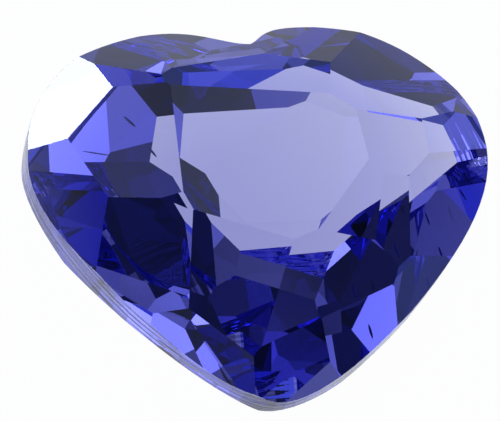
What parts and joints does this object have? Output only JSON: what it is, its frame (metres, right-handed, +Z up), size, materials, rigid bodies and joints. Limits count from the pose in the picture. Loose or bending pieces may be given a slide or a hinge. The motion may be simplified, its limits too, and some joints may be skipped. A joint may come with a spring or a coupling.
{
  "type": "heart cut gemstone",
  "caption": "Loose heart cut blue sapphire: flat table, faceted crown, polished girdle and asymmetric faceted pavilion, lying on its small flat culet.",
  "frame": {"origin": "centre of the bounding box's bottom face, at the height of the facet the stone rests on", "axes": "+Z up from the resting facet, +Y towards the heart's cleft, +X to the right seen from above"},
  "size_m": [0.0072, 0.0062, 0.0034],
  "materials": {
    "sapphire": "polished clear violet blue sapphire, see-through, refractive index 1.77, colour from absorption in depth"
  },
  "bodies": {
    "root": {"sapphire": "sapphire"}
  },
  "joints": []
}
